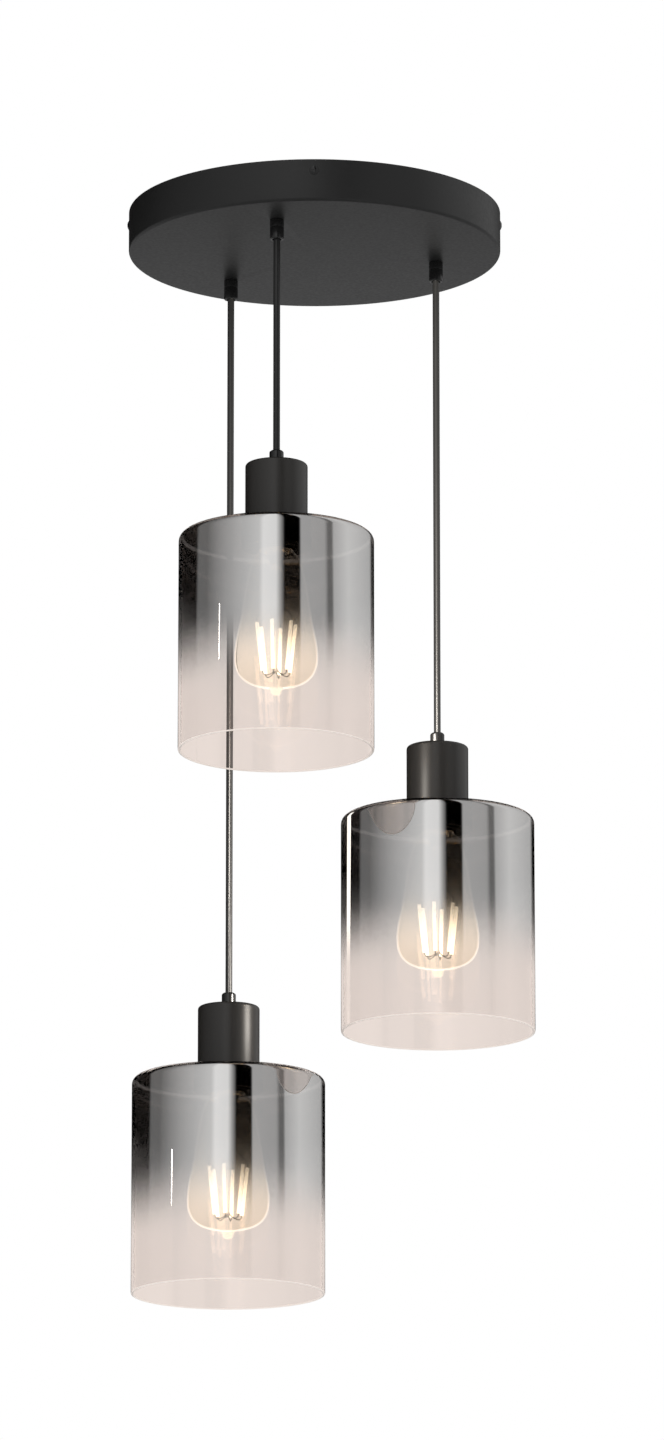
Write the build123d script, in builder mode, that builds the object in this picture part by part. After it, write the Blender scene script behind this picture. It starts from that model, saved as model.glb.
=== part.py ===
"""Cluster pendant: a round ceiling canopy with three glass-shaded lamps on cords of different lengths.

Millimetres, +Z up. The origin is the centre of the canopy's back, in the plane of the ceiling, and
everything hangs below it. Each lamp is the same; only its place and the length of its cord differ.
"""
from build123d import *
from math import cos, sin, tan, radians, hypot, pi
import os

os.makedirs("parts", exist_ok=True)

# ---- Driving dimensions ----
CANOPY_R = 146.0
CANOPY_H = 33.0
CANOPY_WALL = 1.2
CANOPY_EDGE_R = 2.5
SIDE_SCREW_Z = -9.0  # height of the four screws that hold the pan

LAMP_RING_R = 98.0  # the cords leave the canopy on this circle
LAMP_ANGLES = (-107.2, 12.8, 132.8)
RIM_Z = (-455.0, -651.0, -847.0)  # lower rim of each shade

CORD_R = 2.65
THREAD_R = 4.95  # M10 x 1 threads are plain cylinders
THREAD_HOLE_R = 5.05
GRIP_R = 5.5
GRIP_BODY_H = 6.0
GRIP_NUT_H = 10.0
PIVOT_DROP = 12.0  # from the canopy's face down to the point the cord swings about

SHADE_R = 75.0
SHADE_H = 170.0
SHADE_WALL = 2.5
SHADE_SHOULDER_R = 6.0
CUP_R = 24.0
CUP_H = 56.0
CUP_WALL = 1.2
CUP_EDGE_R = 2.5
CUP_TOP_T = 1.5
GLAND_H = 11.0
GLAND_STEM = 17.5  # the gland's threaded stem, down from the inside of the cup's top

BRACKET_T = 2.0
GROUND_XY = (22.0, 0.0)  # the earth screw
BLOCK_XY = (0.0, 80.0)  # the terminal block: its centre, its size, its poles and its fixing holes
BLOCK_SIZE = (34.0, 14.0, 12.0)
POLE_PITCH = 9.0
WELL_DEPTH = 3.0  # over each clamp screw
BLOCK_FIX_X = 13.0
BLOCK_FIX_R = 1.6

SLEEVE_R = 19.6  # the lampholder's threaded sleeve, through the hole in the glass
WELL_R = 14.8
MOUTH_DROP = 11.2  # from the deck down to the lampholder's open end
WEB_Z = 20.0  # underside of the web above the bulb's contact, over the deck
CONTACT_SHEET = 0.4  # thickness of the brass sheet in the lampholder
THREAD_PITCH = 3.63  # E27 lamp thread, drawn as rings

# The bulb, with heights over the shade's rim
CAP_EDGE = 157.5
NECK_TOP = 160.5
NECK_R = 12.2
GLASS_WALL = 0.8
# radius and height of the envelope, from the neck down to its widest place
SWELL = [(14.0, 155.4), (16.6, 152.4), (19.6, 145.0), (22.6, 132.6), (25.2, 117.0), (28.4, 97.6),
         (31.2, 82.0), (32.0, 70.5)]
# and from there down to the exhaust tip
BELLY = [(30.6, 60.5), (26.0, 53.0), (18.0, 48.2), (9.5, 46.6)]
TIP_R = 4.6
TIP_END = 42.0
STEM_ROD_R = 1.1
FILAMENTS = 6
TOP_SPREAD = (15.5, 100.0)  # radius and height of the filaments' upper ends
LOW_SPREAD = (11.0, 62.0)

# Route of each lead, from the spigot of its grip up through the stem, over the pan's floor and into
# the terminal block. Two more points before these stand on the grip's own axis.
LEAD_ROUTES = {
    1: [(-29.5, -85.5, -12.8), (-32, -70, -11.2), (-30, -42, -10.6), (-26.5, -5, -10.8),
        (-17, 30, -10.4), (-4.5, 50, -9.6), (0, 62, -9), (0, 73, -9)],
    2: [(89, 26.2, -12.8), (78, 34, -11.3), (56, 46, -10.6), (30, 53, -10.2), (15, 57, -9.5),
        (9, 65, -9), (9, 73, -9)],
    3: [(-59.5, 68, -12.8), (-49.5, 62.5, -11.3), (-34, 57, -10.7), (-18.5, 56, -10),
        (-9, 63, -9), (-9, 73, -9)],
}

# ---- Worked out from them ----
CANOPY_FACE = -CANOPY_H  # underside of the pan
PAN_FLOOR = CANOPY_FACE + CANOPY_WALL  # the pan's inner floor
PIVOT_Z = CANOPY_FACE - PIVOT_DROP
GRIP_SPLIT = CANOPY_FACE - GRIP_BODY_H
GRIP_MOUTH = GRIP_SPLIT - GRIP_NUT_H
STEM_TOP = PAN_FLOOR + 6.8  # the grips' threaded stems end here, above their locknuts
STUB_END = GRIP_SPLIT - 2.5
EAR_FACE = CANOPY_R - CANOPY_WALL - 0.5  # outer face of the bracket's four bent ears
LAMPS = (1, 2, 3)
LAMP_XY = [(LAMP_RING_R * cos(radians(a)), LAMP_RING_R * sin(radians(a))) for a in LAMP_ANGLES]
DECK_Z = [rim + SHADE_H for rim in RIM_Z]  # flat top of each shade


def save(part, label):
    """Label one finished piece and write it as the node of that name."""
    part.label = label
    export_step(part, f"parts/{label}.step")


def lamp_plane(lamp):
    """Upright plane through a lamp's axis: X is the radius and Y the height above the ceiling plane."""
    x, y = LAMP_XY[lamp - 1]
    return Plane(origin=(x, y, 0), x_dir=(1, 0, 0), z_dir=(0, -1, 0))


def lamp_axis(lamp):
    return Axis((*LAMP_XY[lamp - 1], 0), (0, 0, 1))


def turn(lamp, outline):
    """A ring or a solid of revolution about a lamp's axis, from a closed outline of (radius, height)."""
    with BuildPart() as turned:
        with BuildSketch(lamp_plane(lamp)):
            with BuildLine():
                Polyline(*outline, close=True)
            make_face()
        revolve(axis=lamp_axis(lamp))
    return turned


def heights(solid_edges, z):
    """The edges that lie flat at one height."""
    return [e for e in solid_edges if abs(e.center().Z - z) < 0.01 and e.bounding_box().size.Z < 0.01]


# ---- Canopy ----
def canopy_shell():
    """Spun pan, open to the ceiling, with the cord holes in its floor and the screw holes in its wall."""
    side_hole_r = 2.3
    with BuildPart() as shell:
        with BuildSketch(Plane.XY.offset(CANOPY_FACE)):
            Circle(CANOPY_R)
        extrude(amount=CANOPY_H)
        fillet(heights(shell.edges(), CANOPY_FACE), CANOPY_EDGE_R)
        offset(amount=-CANOPY_WALL, openings=shell.faces().sort_by(Axis.Z)[-1])
        with BuildSketch(Plane.XY.offset(CANOPY_FACE)):
            with Locations(*LAMP_XY):
                Circle(THREAD_HOLE_R)
        extrude(amount=CANOPY_WALL, mode=Mode.SUBTRACT)
        for side in range(4):
            outward = (cos(side * pi / 2), sin(side * pi / 2), 0)
            with BuildSketch(Plane(origin=(0, 0, SIDE_SCREW_Z), x_dir=(0, 0, 1), z_dir=outward)):
                Circle(side_hole_r)
            extrude(amount=CANOPY_R + 1, mode=Mode.SUBTRACT)
    save(shell.part, "canopy_shell")


def ceiling_bracket():
    """Cross-shaped plate against the ceiling, with an ear bent down behind each side screw."""
    arm_w = 30.0
    ear_w = 14.0
    ear_drop = 16.0
    arm_reach = 130.0
    corner_r = 8.0
    slot_at = 45.0
    slot_size = (25.0, 5.5)
    supply_hole_r = 12.0
    tapped_r = 2.0  # the earth screw's hole and the four side screws' holes
    with BuildPart() as bracket:
        with BuildSketch(Plane.XY.offset(-BRACKET_T)) as plate:
            Rectangle(2 * arm_reach, arm_w)
            Rectangle(arm_w, 2 * arm_reach)
            inner = [v for v in plate.vertices() if hypot(v.X, v.Y) < arm_w]
            outer = [v for v in plate.vertices() if hypot(v.X, v.Y) > arm_w]
            fillet(inner, corner_r)
            fillet(outer, corner_r / 2)
        extrude(amount=BRACKET_T)
        for side in range(4):
            along = Vector(cos(side * pi / 2), sin(side * pi / 2), 0)
            across = Vector(0, 0, 1).cross(along)
            # upright plane along the arm, on one side of the ear
            with BuildSketch(Plane(origin=across * (ear_w / 2), x_dir=along, z_dir=across * -1)):
                with BuildLine():
                    Polyline((arm_reach - 4, 0), (EAR_FACE, 0), (EAR_FACE, -ear_drop),
                             (EAR_FACE - BRACKET_T, -ear_drop), (EAR_FACE - BRACKET_T, -BRACKET_T),
                             (arm_reach - 4, -BRACKET_T), close=True)
                make_face()
            extrude(amount=ear_w)
        bends = [e for e in bracket.edges().filter_by(GeomType.LINE)
                 if abs(hypot(e.center().X, e.center().Y) - EAR_FACE) < 0.01 and e.center().Z > -0.01]
        fillet(bends, BRACKET_T + 0.5)
        # slots for the ceiling box, the supply's entry, and the earth screw's tapped hole
        with BuildSketch(Plane.XY.offset(-BRACKET_T)):
            with Locations((slot_at, 0), (-slot_at, 0)):
                SlotOverall(*slot_size)
            with Locations((0, slot_at), (0, -slot_at)):
                SlotOverall(*slot_size, rotation=90)
            Circle(supply_hole_r)
            with Locations(GROUND_XY):
                Circle(tapped_r)
            with Locations(*[(BLOCK_XY[0] + s * BLOCK_FIX_X, BLOCK_XY[1]) for s in (-1, 1)]):
                Circle(BLOCK_FIX_R)
        extrude(amount=BRACKET_T, mode=Mode.SUBTRACT)
        for side in range(4):
            outward = (cos(side * pi / 2), sin(side * pi / 2), 0)
            with BuildSketch(Plane(origin=(0, 0, SIDE_SCREW_Z), x_dir=(0, 0, 1), z_dir=outward)):
                Circle(tapped_r)
            extrude(amount=CANOPY_R, mode=Mode.SUBTRACT)
    save(bracket.part, "ceiling_bracket")


def canopy_screws():
    """Four low dome-head screws with cross recesses, one in each side of the pan."""
    head_r = 3.9
    head_h = 1.3
    shank_r = 1.95
    shank_length = 10.0
    recess = (4.0, 0.8)
    recess_floor = 0.6  # over the head's seat
    dome_r = (head_r ** 2 + head_h ** 2) / (2 * head_h)
    with BuildPart() as screws:
        for side in range(4):
            outward = Vector(cos(side * pi / 2), sin(side * pi / 2), 0)
            seat = Vector(0, 0, SIDE_SCREW_Z) + outward * CANOPY_R
            with BuildSketch(Plane(origin=seat, x_dir=outward, z_dir=outward.cross(Vector(0, 0, 1)))):
                with BuildLine():
                    RadiusArc((head_h, 0), (0, head_r), -dome_r)
                    Polyline((0, head_r), (0, shank_r), (-shank_length, shank_r), (-shank_length, 0),
                             (head_h, 0))
                make_face()
            revolve(axis=Axis(seat, outward))
            recess_seat = seat + outward * recess_floor
            with BuildSketch(Plane(origin=recess_seat, x_dir=(0, 0, 1), z_dir=outward)):
                Rectangle(recess[0], recess[1])
                Rectangle(recess[1], recess[0])
            extrude(amount=head_h, mode=Mode.SUBTRACT)
    save(screws.part, "canopy_screws")


def ground_screw():
    """Earth screw with a cross recess and a washer, up into the bracket."""
    washer_r = 4.5
    washer_h = 0.9
    head_r = 3.8
    head_h = 2.4
    shank_r = 1.95
    recess = (4.4, 0.9)
    recess_depth = 1.2
    underside = -BRACKET_T
    with BuildPart() as screw:
        with BuildSketch(Plane.XY.offset(underside)):
            with Locations(GROUND_XY):
                Circle(washer_r)
        extrude(amount=-washer_h)
        with BuildSketch(Plane.XY.offset(underside - washer_h)):
            with Locations(GROUND_XY):
                Circle(head_r)
        extrude(amount=-head_h)
        fillet(heights(screw.edges(), underside - washer_h - head_h), 1.0)
        with BuildSketch(Plane.XY.offset(underside)):
            with Locations(GROUND_XY):
                Circle(shank_r)
        extrude(amount=BRACKET_T - 0.3)
        with BuildSketch(Plane.XY.offset(underside - washer_h - head_h)):
            with Locations(GROUND_XY):
                Rectangle(recess[0], recess[1])
                Rectangle(recess[1], recess[0])
        extrude(amount=recess_depth, mode=Mode.SUBTRACT)
    save(screw.part, "ground_screw")


def terminal_block():
    """Three-pole moulded block with a well over each clamp screw and a mouth for each wire."""
    top = -BRACKET_T
    end_w = 3.5
    waist_w = 1.6
    cut_depth = 6.0
    well_r = 2.3
    wire_z = -9.0
    wire_mouth_r = 1.9
    wire_mouth_depth = 5.0
    with BuildPart() as block:
        with BuildSketch(Plane.XY.offset(top)):
            with Locations(BLOCK_XY):
                RectangleRounded(BLOCK_SIZE[0], BLOCK_SIZE[1], 2)
        extrude(amount=-BLOCK_SIZE[2])
        # waists between the poles, and the two fixing ends cut lower than the poles
        with BuildSketch(Plane.XY.offset(top - BLOCK_SIZE[2])):
            with Locations(*[(BLOCK_XY[0] + s * BLOCK_SIZE[0] / 2, BLOCK_XY[1]) for s in (-1, 1)]):
                Rectangle(2 * end_w, BLOCK_SIZE[1])
            with Locations(*[(BLOCK_XY[0] + s * POLE_PITCH / 2, BLOCK_XY[1]) for s in (-1, 1)]):
                Rectangle(waist_w, BLOCK_SIZE[1])
        extrude(amount=cut_depth, mode=Mode.SUBTRACT)
        with BuildSketch(Plane.XY.offset(top - BLOCK_SIZE[2])):
            with Locations(*terminal_places()):
                Circle(well_r)
        extrude(amount=WELL_DEPTH, mode=Mode.SUBTRACT)
        with BuildSketch(Plane(origin=(0, BLOCK_XY[1] + BLOCK_SIZE[1] / 2, wire_z), z_dir=(0, 1, 0))):
            with Locations(*[(s * POLE_PITCH, 0) for s in (-1, 0, 1)]):
                Circle(wire_mouth_r)
        extrude(amount=-wire_mouth_depth, mode=Mode.SUBTRACT)
        with BuildSketch(Plane.XY.offset(top)):
            with Locations(*[(BLOCK_XY[0] + s * BLOCK_FIX_X, BLOCK_XY[1]) for s in (-1, 1)]):
                Circle(BLOCK_FIX_R)
        extrude(amount=-BLOCK_SIZE[2], mode=Mode.SUBTRACT)
    save(block.part, "terminal_block")


def terminal_places():
    """Two clamp screws to each pole."""
    half_gap = 3.6
    return [(BLOCK_XY[0] + s * POLE_PITCH, BLOCK_XY[1] + t * half_gap) for s in (-1, 0, 1) for t in (-1, 1)]


def terminal_screws():
    """Six slotted clamp screws, each down in its well."""
    screw_r = 2.0
    screw_h = 2.0
    slot_w = 0.7
    slot_depth = 1.0
    well_floor = -BRACKET_T - BLOCK_SIZE[2] + WELL_DEPTH
    with BuildPart() as screws:
        with BuildSketch(Plane.XY.offset(well_floor)):
            with Locations(*terminal_places()):
                Circle(screw_r)
        extrude(amount=-screw_h)
        with BuildSketch(Plane.XY.offset(well_floor - screw_h)):
            with Locations(*terminal_places()):
                Rectangle(3 * screw_r, slot_w)
        extrude(amount=slot_depth, mode=Mode.SUBTRACT)
    save(screws.part, "terminal_screws")


# ---- Cord grips in the canopy ----
def grip_locknuts():
    """Thin hexagon nuts on the stems, inside the pan."""
    half_across_flats = 6.5
    nut_h = 3.5
    with BuildPart() as nuts:
        with BuildSketch(Plane.XY.offset(PAN_FLOOR)):
            with Locations(*LAMP_XY):
                RegularPolygon(half_across_flats, 6, major_radius=False)
                Circle(THREAD_HOLE_R, mode=Mode.SUBTRACT)
        extrude(amount=nut_h)
    save(nuts.part, "grip_locknuts")


def grip_body(lamp):
    """Barrel under the pan, with a threaded stem up through it and a spigot down into the nut."""
    bore_r = CORD_R + 0.1
    spigot_r = 4.35
    grip = turn(lamp, [(bore_r, STEM_TOP), (THREAD_R - 0.5, STEM_TOP), (THREAD_R, STEM_TOP - 0.5),
                       (THREAD_R, CANOPY_FACE), (GRIP_R, CANOPY_FACE), (GRIP_R, GRIP_SPLIT + 0.25),
                       (GRIP_R - 0.25, GRIP_SPLIT), (spigot_r, GRIP_SPLIT), (spigot_r, STUB_END),
                       (bore_r, STUB_END)])
    save(grip.part, f"grip_body_{lamp}")


def grip_nut(lamp):
    """Clamp nut: a round cap that holds the bush over the cord's mouth."""
    lip = 1.1
    cavity_r = 4.4
    mouth_r = 3.6
    nut = turn(lamp, [(cavity_r, GRIP_SPLIT), (GRIP_R - 0.25, GRIP_SPLIT), (GRIP_R, GRIP_SPLIT - 0.25),
                      (GRIP_R, GRIP_MOUTH + 1.0), (GRIP_R - 0.3, GRIP_MOUTH + 0.3),
                      (GRIP_R - 1.0, GRIP_MOUTH), (mouth_r + 0.4, GRIP_MOUTH),
                      (mouth_r, GRIP_MOUTH + 0.4), (mouth_r, GRIP_MOUTH + lip),
                      (cavity_r, GRIP_MOUTH + lip)])
    save(nut.part, f"grip_nut_{lamp}")


def flex_bush(lamp):
    """Ball-sided bush in the nut; its waisted bore lets the cord tilt as well."""
    ball_r = 4.3
    half_h = 2.2
    flat_r = (ball_r ** 2 - half_h ** 2) ** 0.5
    waist_r = CORD_R + 0.1
    with BuildPart() as bush:
        with BuildSketch(lamp_plane(lamp)):
            with BuildLine():
                ThreePointArc((flat_r, PIVOT_Z + half_h), (ball_r, PIVOT_Z), (flat_r, PIVOT_Z - half_h))
                Polyline((flat_r, PIVOT_Z - half_h), (waist_r + 0.4, PIVOT_Z - half_h),
                         (waist_r, PIVOT_Z), (waist_r + 0.4, PIVOT_Z + half_h),
                         (flat_r, PIVOT_Z + half_h))
            make_face()
        revolve(axis=lamp_axis(lamp))
    save(bush.part, f"flex_bush_{lamp}")


def lead(lamp):
    """The cord's stretch inside the pan: runs joined by arcs as large as they allow."""
    x, y = LAMP_XY[lamp - 1]
    axis_top = -19.0  # the lead leaves the grip's axis above this height
    points = [Vector(x, y, STUB_END), Vector(x, y, axis_top)] + [Vector(*p) for p in LEAD_ROUTES[lamp]]
    runs = [b - a for a, b in zip(points, points[1:])]
    radii = []
    for before, after in zip(runs, runs[1:]):
        half_turn = radians(before.get_angle(after)) / 2
        radii.append(0.45 * min(before.length, after.length) / tan(half_turn))
    with BuildPart() as tube:
        with BuildLine() as path:
            FilletPolyline(*points, radius=radii)
        with BuildSketch(Plane(origin=points[0], z_dir=(0, 0, 1))):
            Circle(CORD_R)
        sweep(path=path.wires()[0])
    ideal = pi * CORD_R ** 2 * path.wires()[0].length
    print(f"lead_{lamp}: bend radii", [round(r, 1) for r in radii],
          f"length {path.wires()[0].length:.1f}, volume ratio {tube.part.volume / ideal:.4f}")
    save(tube.part, f"lead_{lamp}")


# ---- One lamp ----
def cup_top(lamp):
    return DECK_Z[lamp - 1] + CUP_H


def cord(lamp):
    """Straight hanging cord, from inside the bush down through the gland to the lampholder's chamber."""
    top = PIVOT_Z + 2.7
    tail = 4.0  # past the end of the gland's stem
    bottom = cup_top(lamp) - CUP_TOP_T - GLAND_STEM - tail
    with BuildPart() as tube:
        with BuildSketch(Plane.XY.offset(bottom)):
            with Locations(LAMP_XY[lamp - 1]):
                Circle(CORD_R)
        extrude(amount=top - bottom)
    print(f"cord_{lamp}: straight, length {top - bottom:.1f}, seen {GRIP_MOUTH - cup_top(lamp) - GLAND_H:.1f}")
    save(tube.part, f"cord_{lamp}")


def gland(lamp):
    """Round gland on the cup, with a threaded stem down into the lampholder."""
    bore_r = CORD_R + 0.08
    seat = cup_top(lamp)
    stem_end = seat - CUP_TOP_T - GLAND_STEM
    body = turn(lamp, [(bore_r, seat + GLAND_H), (GRIP_R - 1.6, seat + GLAND_H),
                       (GRIP_R - 0.4, seat + GLAND_H - 0.6), (GRIP_R, seat + GLAND_H - 1.4),
                       (GRIP_R, seat), (THREAD_R, seat), (THREAD_R, stem_end + 0.5),
                       (THREAD_R - 0.5, stem_end), (bore_r, stem_end)])
    save(body.part, f"gland_{lamp}")


def cup(lamp):
    """Drawn metal cup over the lampholder, closed at the top, resting on the glass."""
    deck = DECK_Z[lamp - 1]
    x, y = LAMP_XY[lamp - 1]
    with BuildPart() as shell:
        with BuildSketch(Plane.XY.offset(deck)):
            with Locations((x, y)):
                Circle(CUP_R)
        extrude(amount=CUP_H)
        fillet(heights(shell.edges(), deck + CUP_H), CUP_EDGE_R)
        offset(amount=-CUP_WALL, openings=shell.faces().sort_by(Axis.Z)[0])
        # the top is thicker than the wall, and pierced for the gland
        with BuildSketch(Plane.XY.offset(deck + CUP_H - CUP_TOP_T)):
            with Locations((x, y)):
                Circle(CUP_R - CUP_EDGE_R - 0.5)
        extrude(amount=CUP_TOP_T)
        with BuildSketch(Plane.XY.offset(deck + CUP_H - CUP_TOP_T)):
            with Locations((x, y)):
                Circle(THREAD_HOLE_R)
        extrude(amount=CUP_TOP_T, mode=Mode.SUBTRACT)
    save(shell.part, f"cup_{lamp}")


def holder_body(lamp):
    """Moulded lampholder: sleeve and flange below, bulb well, web, terminal chamber and neck above."""
    deck = DECK_Z[lamp - 1]
    web_t = 4.0
    chamber_top = deck + 33.0
    neck_top = cup_top(lamp) - CUP_TOP_T - 12.0
    flange_r = 22.4
    flange_h = 3.0
    barrel_r = 18.0
    chamber_r = 15.0
    neck_r = 9.0
    wire_r = 2.0
    roof = 3.0  # thickness of the chamber's roof, and the barrel's chamfer
    body = turn(lamp, [(WELL_R, deck - MOUTH_DROP), (SLEEVE_R, deck - MOUTH_DROP), (SLEEVE_R, deck),
                       (flange_r, deck), (flange_r, deck + flange_h), (barrel_r, deck + flange_h),
                       (barrel_r, chamber_top), (barrel_r - roof, chamber_top + roof),
                       (neck_r, chamber_top + roof), (neck_r, neck_top), (THREAD_HOLE_R, neck_top),
                       (THREAD_HOLE_R, chamber_top), (chamber_r, chamber_top),
                       (chamber_r, deck + WEB_Z + web_t), (wire_r, deck + WEB_Z + web_t),
                       (wire_r, deck + WEB_Z), (WELL_R, deck + WEB_Z)])
    save(body.part, f"holder_body_{lamp}")


def zigzag(first_z, rings, root_r, crest_r):
    """Outline points of a rolled thread, upwards from first_z: root, crest, root and so on."""
    points = []
    for ring in range(rings):
        z = first_z + ring * THREAD_PITCH
        points += [(root_r, z), (crest_r, z + THREAD_PITCH / 2)]
    return points + [(root_r, first_z + rings * THREAD_PITCH)]


def screw_shell(lamp):
    """Thin brass shell in the well, rolled to the lamp thread, with a turned-in top."""
    deck = DECK_Z[lamp - 1]
    rings = 5
    root_r = 13.4
    crest_r = 14.1
    lip_r = 6.5  # the turned-in top's inner edge
    first_z = deck - 7.4
    top = deck + 15.2
    inside = [(root_r, first_z - 2.2)] + zigzag(first_z, rings, root_r, crest_r)
    inner_wall = inside + [(root_r, top - CONTACT_SHEET), (lip_r, top - CONTACT_SHEET)]
    outer_wall = [(lip_r, top), (root_r + CONTACT_SHEET, top)]
    outer_wall += [(r + CONTACT_SHEET, z) for r, z in reversed(inside)]
    shell = turn(lamp, inner_wall + outer_wall)
    save(shell.part, f"screw_shell_{lamp}")


def centre_contact(lamp):
    """Brass tongue riveted under the web and sprung down towards the bulb's contact."""
    x, y = LAMP_XY[lamp - 1]
    web = DECK_Z[lamp - 1] + WEB_Z
    width = 5.0
    sprung = web - 4.1  # height of the tongue's free end
    rivet_x = -5.5
    rivet_r = 1.4
    rivet_h = 0.8
    side = Plane(origin=(x, y - width / 2, 0), x_dir=(1, 0, 0), z_dir=(0, -1, 0))
    tongue = [(-8, web), (-2.6, web), (1.5, sprung), (4, sprung)]
    underside = [(4, sprung - CONTACT_SHEET), (1.3, sprung - CONTACT_SHEET),
                 (-2.8, web - CONTACT_SHEET), (-8, web - CONTACT_SHEET)]
    with BuildPart() as contact:
        with BuildSketch(side):
            with BuildLine():
                Polyline(*tongue, *underside, close=True)
            make_face()
        extrude(amount=-width)
        with BuildSketch(Plane.XY.offset(web - CONTACT_SHEET)):
            with Locations((x + rivet_x, y)):
                Circle(rivet_r)
        extrude(amount=-rivet_h)
    save(contact.part, f"centre_contact_{lamp}")


def shade_collar(lamp):
    """Ring nut under the glass, with finger notches all round."""
    x, y = LAMP_XY[lamp - 1]
    top = DECK_Z[lamp - 1] - SHADE_WALL
    ring_h = 8.0
    ring_r = 27.0
    edge = 0.5
    notches = 20
    notch_r = 1.8
    notch_at = ring_r + 0.7
    solid_top = 2.0  # the notches stop this far under the ring's top
    with BuildPart() as collar:
        with BuildSketch(Plane.XY.offset(top - ring_h)):
            with Locations((x, y)):
                Circle(ring_r)
                Circle(SLEEVE_R + 0.05, mode=Mode.SUBTRACT)
        extrude(amount=ring_h)
        chamfer(heights(collar.edges(), top - ring_h), edge)
        with BuildSketch(Plane.XY.offset(top - ring_h)):
            with Locations((x, y)):
                with PolarLocations(notch_at, notches):
                    Circle(notch_r)
        extrude(amount=ring_h - solid_top, mode=Mode.SUBTRACT)
    save(collar.part, f"shade_collar_{lamp}")


def glass_shade(lamp):
    """Blown cylinder with a flat top, a soft shoulder and a fire-polished open rim."""
    rim = RIM_Z[lamp - 1]
    x, y = LAMP_XY[lamp - 1]
    hole_r = 20.5
    with BuildPart() as shade:
        with BuildSketch(Plane.XY.offset(rim)):
            with Locations((x, y)):
                Circle(SHADE_R)
        extrude(amount=SHADE_H)
        fillet(heights(shade.edges(), rim + SHADE_H), SHADE_SHOULDER_R)
        offset(amount=-SHADE_WALL, openings=shade.faces().sort_by(Axis.Z)[0])
        with BuildSketch(Plane.XY.offset(rim + SHADE_H - SHADE_WALL)):
            with Locations((x, y)):
                Circle(hole_r)
        extrude(amount=SHADE_WALL, mode=Mode.SUBTRACT)
        fillet(heights(shade.edges(), rim), SHADE_WALL * 0.48)
    save(shade.part, f"glass_shade_{lamp}")


# ---- Bulb ----
def envelope_half(rim, inset):
    """Draw half the envelope's section, with every surface moved in by the inset."""
    neck_r = NECK_R - inset
    tip_r = TIP_R - inset
    tip_end = rim + TIP_END + inset
    swell = [(r - inset, rim + h) for r, h in SWELL]
    widest_h = SWELL[-1][1]
    belly = []
    for r, h in BELLY:
        lift = (widest_h - h) / (widest_h - BELLY[-1][1])
        belly.append((r - inset * r / SWELL[-1][0], rim + h + inset * lift))
    Line((neck_r, rim + NECK_TOP), (neck_r, rim + CAP_EDGE))
    Spline((neck_r, rim + CAP_EDGE), *swell, *belly, (tip_r, tip_end + tip_r),
           tangents=[(0, -1), (0, -1)])
    bulge = (tip_r * sin(pi / 4), tip_end + tip_r * (1 - cos(pi / 4)))
    ThreePointArc((tip_r, tip_end + tip_r), bulge, (0, tip_end))
    Polyline((0, tip_end), (0, rim + NECK_TOP), (neck_r, rim + NECK_TOP))


def bulb_glass(lamp):
    """Thin clear envelope, drawn in at the neck, with a sealed exhaust tip below."""
    rim = RIM_Z[lamp - 1]
    with BuildPart() as glass:
        for inset, mode in ((0.0, Mode.ADD), (GLASS_WALL, Mode.SUBTRACT)):
            with BuildSketch(lamp_plane(lamp)):
                with BuildLine():
                    envelope_half(rim, inset)
                make_face()
            revolve(axis=lamp_axis(lamp), mode=mode)
    save(glass.part, f"bulb_glass_{lamp}")


def bulb_cap(lamp):
    """Screw cap: skirt, rolled thread, shoulder, dark insulator and soldered contact."""
    rim = RIM_Z[lamp - 1]
    first_z = rim + 161.2
    rings = 5
    root_r = 12.75
    crest_r = 12.95
    thread = zigzag(first_z, rings, root_r, crest_r)
    thread_top = first_z + rings * THREAD_PITCH
    cap = turn(lamp, [(NECK_R + 0.1, rim + CAP_EDGE), (crest_r, rim + CAP_EDGE), (crest_r, rim + 160.4)]
               + thread + [(10.5, thread_top + 1.6), (7.6, thread_top + 2.1), (5.2, thread_top + 3.9),
                           (4.6, thread_top + 4.0), (3.4, thread_top + 5.0), (0, thread_top + 5.2),
                           (0, thread_top + 1.0), (9.5, thread_top), (11.6, thread_top - 2.0),
                           (11.6, rim + NECK_TOP + 0.6), (NECK_R + 0.1, rim + NECK_TOP + 0.6)])
    save(cap.part, f"bulb_cap_{lamp}")


def bulb_stem(lamp):
    """Glass stem: a flare in the neck, a tube, and a rod down between the filaments."""
    rim = RIM_Z[lamp - 1]
    stem = turn(lamp, [(0, rim + 160.0), (11.0, rim + 160.0), (10.6, rim + 158.6), (6.2, rim + 152.0),
                       (4.2, rim + 144.0), (3.8, rim + 120.0), (2.6, rim + 113.0), (2.2, rim + 108.0),
                       (STEM_ROD_R, rim + 105.0), (STEM_ROD_R, rim + 64.5), (1.8, rim + 63.4),
                       (1.8, rim + 61.6), (1.0, rim + 60.6), (0, rim + 60.4)])
    save(stem.part, f"bulb_stem_{lamp}")


def spoke_points(lamp, spread):
    """Where the filaments end, at one of their two spreads."""
    x, y = LAMP_XY[lamp - 1]
    first_turn = 18
    radius, height = spread
    turns = [radians(first_turn + 360 * k / FILAMENTS) for k in range(FILAMENTS)]
    return [Vector(x + radius * cos(t), y + radius * sin(t), RIM_Z[lamp - 1] + height) for t in turns]


def bulb_filaments(lamp):
    """Six straight filament rods that lean together towards the bottom."""
    rod_r = 1.2
    with BuildPart() as rods:
        for top, low in zip(spoke_points(lamp, TOP_SPREAD), spoke_points(lamp, LOW_SPREAD)):
            with BuildSketch(Plane(origin=top, z_dir=low - top)):
                Circle(rod_r)
            extrude(amount=(low - top).length)
    save(rods.part, f"bulb_filaments_{lamp}")


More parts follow.
